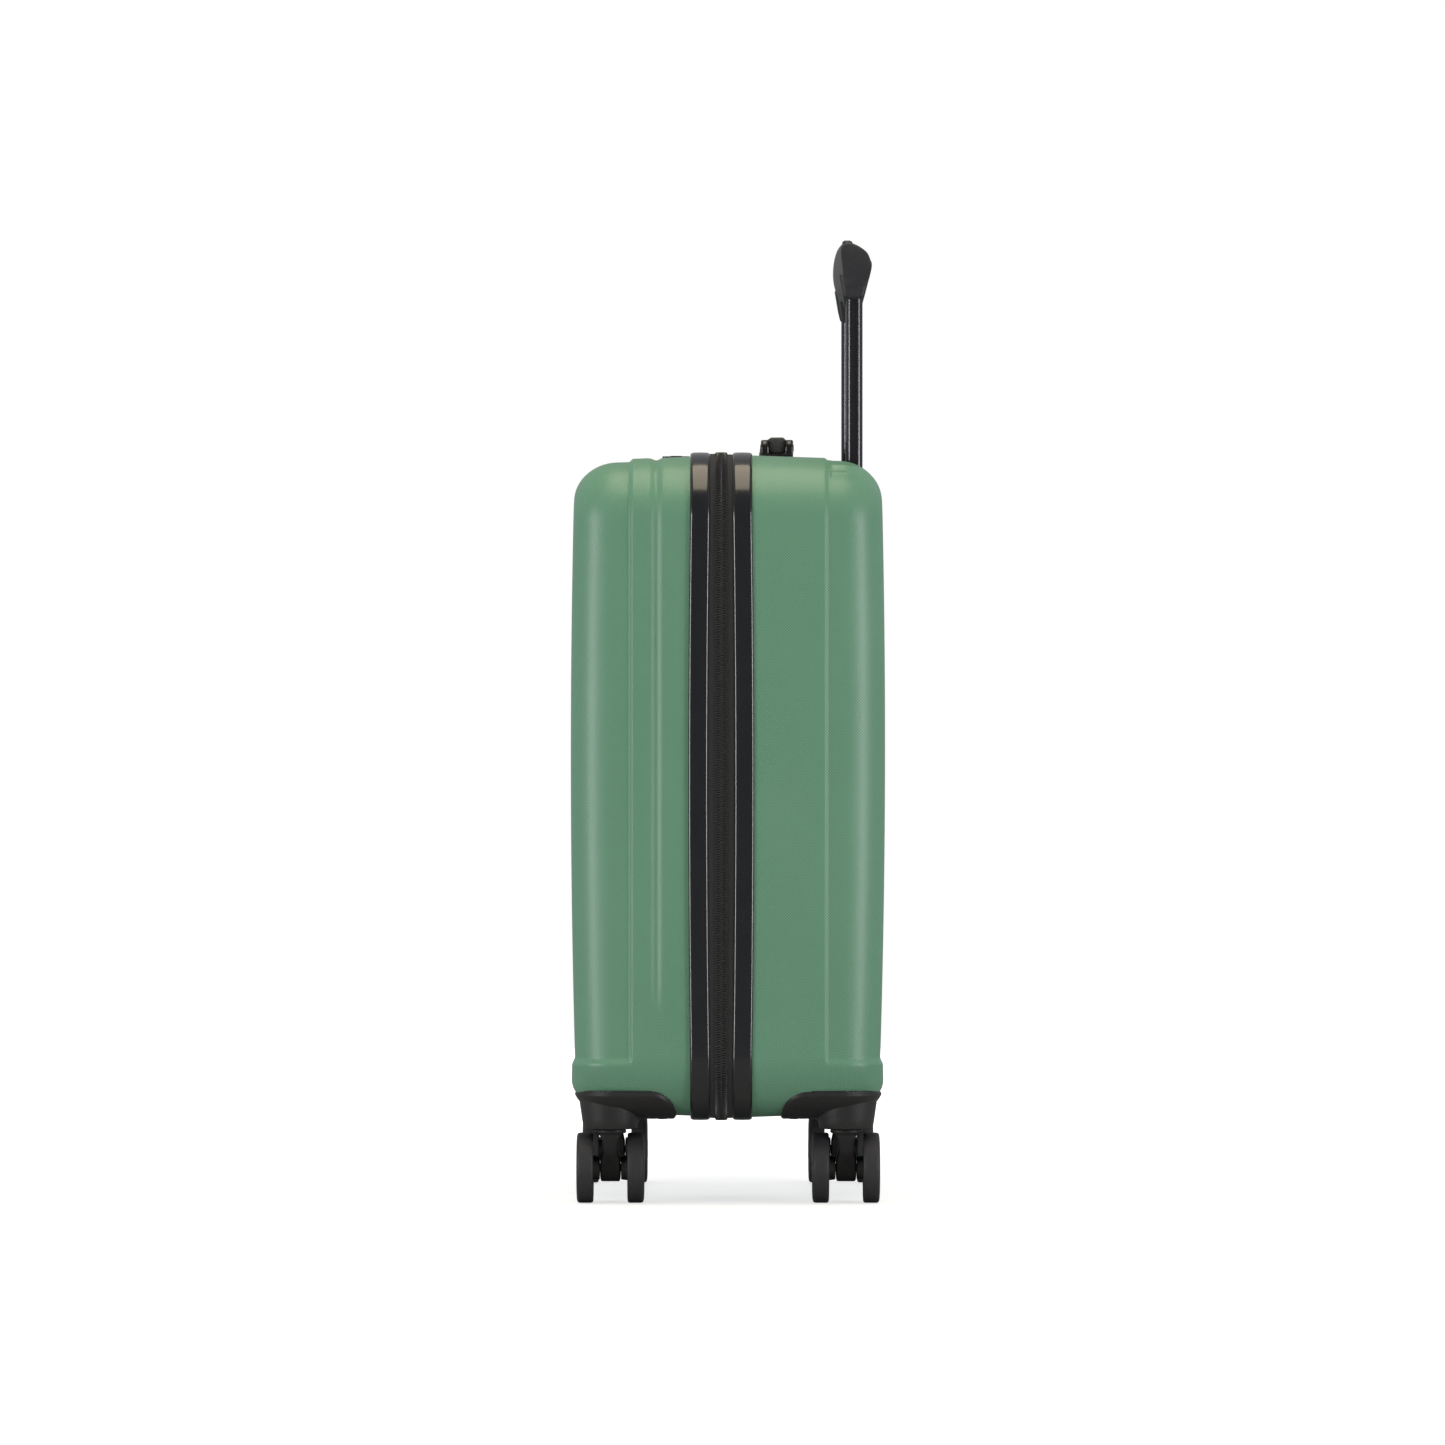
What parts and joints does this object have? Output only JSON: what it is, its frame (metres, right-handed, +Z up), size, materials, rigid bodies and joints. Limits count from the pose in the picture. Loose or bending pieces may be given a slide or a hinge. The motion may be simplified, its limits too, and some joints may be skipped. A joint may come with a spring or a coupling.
{
  "type": "cabin suitcase",
  "caption": "Hard-shell cabin suitcase with a telescopic pull handle, carry handle, zip closure with combination lock and twin-wheel swivel casters.",
  "frame": {"origin": "on the floor, in the middle of the case", "axes": "+Z up, +Y from the front shell to the rear shell that holds the pull handle, +X to the side where the zip opens"},
  "size_m": [0.3748, 0.225, 0.698],
  "materials": {
    "shell_green": "satin, fine cross-hatch grain",
    "trim_black": "glossy",
    "zip_black": "woven tape with moulded coils",
    "lining_grey": "woven polyester",
    "mesh_black": "open mesh with bound edges",
    "guard_black": "fine matt grain",
    "fork_black": "satin",
    "wheel_black": "moulded hub with a soft tread",
    "tube_black": "glossy black anodised",
    "handle_black": "satin, fine grain",
    "lock_black": "satin",
    "lock_metal": "plated",
    "zip_metal": "black, slightly worn at the edges",
    "steel": "zinc plated",
    "webbing_black": "ribbed webbing",
    "buckle_black": "moulded"
  },
  "bodies": {
    "rear_case": {"rear_shell": "shell_green", "rear_trim": "trim_black", "rear_zip": "zip_black", "rear_lining": "lining_grey", "hinge_strip": "zip_black", "rear_right_guard": "guard_black", "rear_left_guard": "guard_black", "rear_screws": "steel", "outer_tubes": "tube_black", "trolley_bezel": "guard_black", "trolley_foot": "guard_black", "right_handle_mount": "guard_black", "left_handle_mount": "guard_black", "left_strap": "webbing_black", "right_strap": "webbing_black", "buckle_socket": "buckle_black"},
    "front_case": {"front_shell": "shell_green", "front_trim": "trim_black", "front_zip": "zip_black", "front_lining": "lining_grey", "mesh_pocket": "mesh_black", "front_right_guard": "guard_black", "front_left_guard": "guard_black", "front_screws": "steel", "lock_body": "lock_black"},
    "middle_stage": {"middle_tubes": "tube_black"},
    "trolley": {"right_inner_tube": "tube_black", "left_inner_tube": "tube_black", "grip": "handle_black"},
    "button": {"grip_button": "handle_black", "release_rods": "steel"},
    "pins": {"lock_pins": "steel"},
    "carry_handle": {"carry_handle": "handle_black"},
    "lock_dial_1": {"lock_dial_1": "lock_metal"},
    "lock_dial_2": {"lock_dial_2": "lock_metal"},
    "lock_dial_3": {"lock_dial_3": "lock_metal"},
    "lock_key": {"key_cylinder": "lock_metal"},
    "lock_release": {"lock_release": "lock_metal"},
    "right_slider": {"right_slider": "zip_metal"},
    "left_slider": {"left_slider": "zip_metal"},
    "right_pull": {"right_pull": "zip_metal"},
    "left_pull": {"left_pull": "zip_metal"},
    "buckle_plug": {"buckle_plug": "buckle_black"},
    "rear_right_caster": {"rear_right_fork": "fork_black", "rear_right_axle": "steel"},
    "rear_right_outer_wheel": {"rear_right_outer_wheel": "wheel_black"},
    "rear_right_inner_wheel": {"rear_right_inner_wheel": "wheel_black"},
    "rear_left_caster": {"rear_left_fork": "fork_black", "rear_left_axle": "steel"},
    "rear_left_outer_wheel": {"rear_left_outer_wheel": "wheel_black"},
    "rear_left_inner_wheel": {"rear_left_inner_wheel": "wheel_black"},
    "front_right_caster": {"front_right_fork": "fork_black", "front_right_axle": "steel"},
    "front_right_outer_wheel": {"front_right_outer_wheel": "wheel_black"},
    "front_right_inner_wheel": {"front_right_inner_wheel": "wheel_black"},
    "front_left_caster": {"front_left_fork": "fork_black", "front_left_axle": "steel"},
    "front_left_outer_wheel": {"front_left_outer_wheel": "wheel_black"},
    "front_left_inner_wheel": {"front_left_inner_wheel": "wheel_black"}
  },
  "joints": [
    {"name": "lid_hinge", "type": "hinge", "parent": "rear_case", "child": "front_case", "pos_m": [-0.188, -0.005, 0.3], "axis": [0, 0, -1], "range_deg": [0, 180], "deforming": ["hinge_strip"]},
    {"name": "middle_slide", "type": "slide", "parent": "rear_case", "child": "middle_stage", "axis": [0, 0, 1], "range_m": [0, 0.235]},
    {"name": "inner_slide", "type": "slide", "parent": "middle_stage", "child": "trolley", "axis": [0, 0, 1], "range_m": [-0.16, 0.075]},
    {"name": "button_press", "type": "slide", "parent": "trolley", "child": "button", "axis": [0, 0, -1], "range_m": [0, 0.004], "stiffness_N_per_m": 1500, "springref_m": -0.002},
    {"name": "pins_slide", "type": "slide", "parent": "trolley", "child": "pins", "axis": [-1, 0, 0], "range_m": [0, 0.0012]},
    {"name": "carry_handle_lift", "type": "slide", "parent": "rear_case", "child": "carry_handle", "axis": [0, 0, 1], "range_m": [0, 0.008], "stiffness_N_per_m": 250, "springref_m": -0.002},
    {"name": "lock_key_turn", "type": "hinge", "parent": "front_case", "child": "lock_key", "pos_m": [0.029, -0.038, 0.534], "axis": [0, 0, 1], "range_deg": [0, 90]},
    {"name": "lock_release_slide", "type": "slide", "parent": "front_case", "child": "lock_release", "axis": [1, 0, 0], "range_m": [0, 0.003], "stiffness_N_per_m": 150, "springref_m": -0.001},
    {"name": "right_slider_slide", "type": "slide", "parent": "front_case", "child": "right_slider", "axis": [1, 0, 0], "range_m": [0, 0.12]},
    {"name": "left_slider_slide", "type": "slide", "parent": "front_case", "child": "left_slider", "axis": [-1, 0, 0], "range_m": [0, 0.12]},
    {"name": "right_pull_flap", "type": "hinge", "parent": "right_slider", "child": "right_pull", "pos_m": [0.0075, -0.005, 0.5408], "axis": [-1, 0, 0], "range_deg": [0, 120]},
    {"name": "left_pull_flap", "type": "hinge", "parent": "left_slider", "child": "left_pull", "pos_m": [-0.0075, -0.005, 0.5408], "axis": [-1, 0, 0], "range_deg": [0, 120]},
    {"name": "buckle_slide", "type": "slide", "parent": "rear_case", "child": "buckle_plug", "axis": [1, 0, 0], "range_m": [0, 0.02], "deforming": ["right_strap"]},
    {"name": "lock_dial_1_turn", "type": "hinge", "parent": "front_case", "child": "lock_dial_1", "pos_m": [-0.029, -0.038, 0.5332], "axis": [1, 0, 0], "continuous": true},
    {"name": "lock_dial_2_turn", "type": "hinge", "parent": "front_case", "child": "lock_dial_2", "pos_m": [-0.022, -0.038, 0.5332], "axis": [1, 0, 0], "continuous": true},
    {"name": "lock_dial_3_turn", "type": "hinge", "parent": "front_case", "child": "lock_dial_3", "pos_m": [-0.015, -0.038, 0.5332], "axis": [1, 0, 0], "continuous": true},
    {"name": "rear_right_swivel", "type": "hinge", "parent": "rear_case", "child": "rear_right_caster", "pos_m": [0.147, 0.0845, 0.0535], "axis": [0, 0, 1], "continuous": true},
    {"name": "rear_right_outer_roll", "type": "hinge", "parent": "rear_right_caster", "child": "rear_right_outer_wheel", "pos_m": [0.135, 0.0845, 0.02525], "axis": [0, 1, 0], "continuous": true},
    {"name": "rear_right_inner_roll", "type": "hinge", "parent": "rear_right_caster", "child": "rear_right_inner_wheel", "pos_m": [0.135, 0.0845, 0.02525], "axis": [0, 1, 0], "continuous": true},
    {"name": "rear_left_swivel", "type": "hinge", "parent": "rear_case", "child": "rear_left_caster", "pos_m": [-0.147, 0.0845, 0.0535], "axis": [0, 0, 1], "continuous": true},
    {"name": "rear_left_outer_roll", "type": "hinge", "parent": "rear_left_caster", "child": "rear_left_outer_wheel", "pos_m": [-0.159, 0.0845, 0.02525], "axis": [0, 1, 0], "continuous": true},
    {"name": "rear_left_inner_roll", "type": "hinge", "parent": "rear_left_caster", "child": "rear_left_inner_wheel", "pos_m": [-0.159, 0.0845, 0.02525], "axis": [0, 1, 0], "continuous": true},
    {"name": "front_right_swivel", "type": "hinge", "parent": "front_case", "child": "front_right_caster", "pos_m": [0.147, -0.0845, 0.0535], "axis": [0, 0, 1], "continuous": true},
    {"name": "front_right_outer_roll", "type": "hinge", "parent": "front_right_caster", "child": "front_right_outer_wheel", "pos_m": [0.135, -0.0845, 0.02525], "axis": [0, 1, 0], "continuous": true},
    {"name": "front_right_inner_roll", "type": "hinge", "parent": "front_right_caster", "child": "front_right_inner_wheel", "pos_m": [0.135, -0.0845, 0.02525], "axis": [0, 1, 0], "continuous": true},
    {"name": "front_left_swivel", "type": "hinge", "parent": "front_case", "child": "front_left_caster", "pos_m": [-0.147, -0.0845, 0.0535], "axis": [0, 0, 1], "continuous": true},
    {"name": "front_left_outer_roll", "type": "hinge", "parent": "front_left_caster", "child": "front_left_outer_wheel", "pos_m": [-0.159, -0.0845, 0.02525], "axis": [0, 1, 0], "continuous": true},
    {"name": "front_left_inner_roll", "type": "hinge", "parent": "front_left_caster", "child": "front_left_inner_wheel", "pos_m": [-0.159, -0.0845, 0.02525], "axis": [0, 1, 0], "continuous": true}
  ],
  "couplings": [
    {"joint": "pins_slide", "follows": "button_press", "ratio": 0.3}
  ]
}
